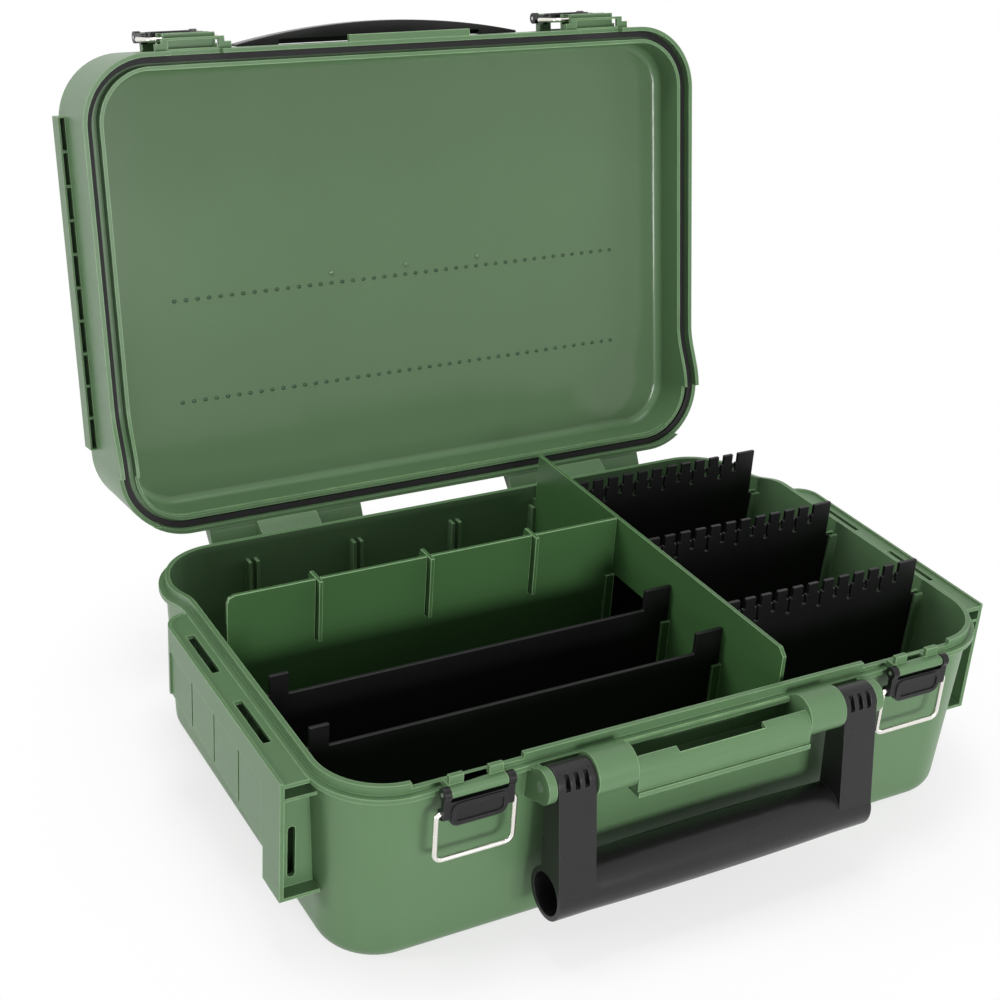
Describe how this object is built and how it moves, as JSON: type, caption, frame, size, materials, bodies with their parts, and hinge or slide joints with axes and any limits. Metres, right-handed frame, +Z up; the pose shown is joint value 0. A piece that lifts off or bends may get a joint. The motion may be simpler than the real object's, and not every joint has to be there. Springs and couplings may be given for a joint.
{
  "type": "hard fishing tackle case",
  "caption": "Two-sided hard plastic tackle case with a hinged lid tray, latched outer cover, lift-out dividers, lure racks and combs, and a swinging carry handle.",
  "frame": {"origin": "middle of the flat bottom of the base, at floor level", "axes": "+X to the right seen from the handle, +Y from the handle towards the hinges, +Z up"},
  "size_m": [0.48, 0.495, 0.4129],
  "materials": {
    "green_shell": "satin moulded plastic",
    "green_insert": "satin moulded plastic",
    "black_insert": "satin moulded plastic",
    "black_latch": "semi-gloss moulded plastic",
    "handle_grip": "soft-touch plastic",
    "wire": "bright drawn wire",
    "pin": "turned steel",
    "seal": "matt rubber",
    "foot": "matt rubber"
  },
  "bodies": {
    "base": {"base_tub": "green_shell", "hinge_pin_left": "pin", "hinge_pin_right": "pin", "base_latch_pins": "pin", "handle_pins": "pin", "base_rear_feet": "foot"},
    "lid": {"lid_tray": "green_shell", "lid_gasket": "seal", "lid_grip": "handle_grip", "lid_rear_foot": "foot", "cover_hinge_pins": "pin"},
    "cover": {"outer_cover": "green_shell", "cover_gasket": "seal", "cover_latch_pins": "pin"},
    "handle": {"front_handle": "handle_grip"},
    "base_lever_left": {"base_lever_left": "black_latch"},
    "base_lever_right": {"base_lever_right": "black_latch"},
    "base_bail_left": {"base_bail_left": "wire"},
    "base_bail_right": {"base_bail_right": "wire"},
    "cover_lever_left": {"cover_lever_left": "black_latch"},
    "cover_lever_right": {"cover_lever_right": "black_latch"},
    "cover_bail_left": {"cover_bail_left": "wire"},
    "cover_bail_right": {"cover_bail_right": "wire"},
    "main_divider": {"main_divider": "green_insert"},
    "long_divider": {"long_divider": "green_insert"},
    "cross_divider_left": {"cross_divider_left": "green_insert"},
    "cross_divider_middle": {"cross_divider_middle": "green_insert"},
    "cross_divider_right": {"cross_divider_right": "green_insert"},
    "lure_rack_rear": {"lure_rack_rear": "black_insert"},
    "lure_rack_front": {"lure_rack_front": "black_insert"},
    "comb_rear": {"comb_rear": "black_insert"},
    "comb_middle": {"comb_middle": "black_insert"},
    "comb_front": {"comb_front": "black_insert"}
  },
  "joints": [
    {"name": "lid_hinge", "type": "hinge", "parent": "base", "child": "lid", "pos_m": [0, 0.1655, 0.096], "axis": [-1, 0, 0], "range_deg": [-100.8, 0]},
    {"name": "cover_hinge", "type": "hinge", "parent": "lid", "child": "cover", "pos_m": [0, 0.24402, 0.08866], "axis": [-1, 0, 0], "range_deg": [0, 85]},
    {"name": "base_lever_left", "type": "hinge", "parent": "base", "child": "base_lever_left", "pos_m": [-0.148, -0.1605, 0.117], "axis": [-1, 0, 0], "range_deg": [0, 60]},
    {"name": "base_bail_left", "type": "hinge", "parent": "base_lever_left", "child": "base_bail_left", "pos_m": [-0.148, -0.1597, 0.1042], "axis": [-1, 0, 0], "range_deg": [0, 176]},
    {"name": "cover_lever_left", "type": "hinge", "parent": "cover", "child": "cover_lever_left", "pos_m": [-0.148, 0.30468, 0.40133], "axis": [-1, 0, 0], "range_deg": [0, 110]},
    {"name": "cover_bail_left", "type": "hinge", "parent": "cover_lever_left", "child": "cover_bail_left", "pos_m": [-0.148, 0.29196, 0.40294], "axis": [-1, 0, 0], "range_deg": [0, 150]},
    {"name": "base_lever_right", "type": "hinge", "parent": "base", "child": "base_lever_right", "pos_m": [0.148, -0.1605, 0.117], "axis": [-1, 0, 0], "range_deg": [0, 60]},
    {"name": "base_bail_right", "type": "hinge", "parent": "base_lever_right", "child": "base_bail_right", "pos_m": [0.148, -0.1597, 0.1042], "axis": [-1, 0, 0], "range_deg": [0, 176]},
    {"name": "cover_lever_right", "type": "hinge", "parent": "cover", "child": "cover_lever_right", "pos_m": [0.148, 0.30468, 0.40133], "axis": [-1, 0, 0], "range_deg": [0, 110]},
    {"name": "cover_bail_right", "type": "hinge", "parent": "cover_lever_right", "child": "cover_bail_right", "pos_m": [0.148, 0.29196, 0.40294], "axis": [-1, 0, 0], "range_deg": [0, 150]},
    {"name": "front_handle_swing", "type": "hinge", "parent": "base", "child": "handle", "pos_m": [0, -0.164, 0.108], "axis": [-1, 0, 0], "range_deg": [0, 120]},
    {"name": "main_divider_lift", "type": "slide", "parent": "base", "child": "main_divider", "axis": [0, 0, 1], "range_m": [0, 0.132]},
    {"name": "long_divider_lift", "type": "slide", "parent": "base", "child": "long_divider", "axis": [0, 0, 1], "range_m": [0, 0.132]},
    {"name": "cross_divider_left_lift", "type": "slide", "parent": "long_divider", "child": "cross_divider_left", "axis": [0, 0, 1], "range_m": [0, 0.132]},
    {"name": "cross_divider_middle_lift", "type": "slide", "parent": "long_divider", "child": "cross_divider_middle", "axis": [0, 0, 1], "range_m": [0, 0.132]},
    {"name": "cross_divider_right_lift", "type": "slide", "parent": "long_divider", "child": "cross_divider_right", "axis": [0, 0, 1], "range_m": [0, 0.132]},
    {"name": "lure_rack_rear_lift", "type": "slide", "parent": "base", "child": "lure_rack_rear", "axis": [0, 0, 1], "range_m": [0, 0.12]},
    {"name": "lure_rack_front_lift", "type": "slide", "parent": "base", "child": "lure_rack_front", "axis": [0, 0, 1], "range_m": [0, 0.12]},
    {"name": "comb_rear_lift", "type": "slide", "parent": "base", "child": "comb_rear", "axis": [0, 0, 1], "range_m": [0, 0.132]},
    {"name": "comb_middle_lift", "type": "slide", "parent": "base", "child": "comb_middle", "axis": [0, 0, 1], "range_m": [0, 0.132]},
    {"name": "comb_front_lift", "type": "slide", "parent": "base", "child": "comb_front", "axis": [0, 0, 1], "range_m": [0, 0.132]}
  ]
}
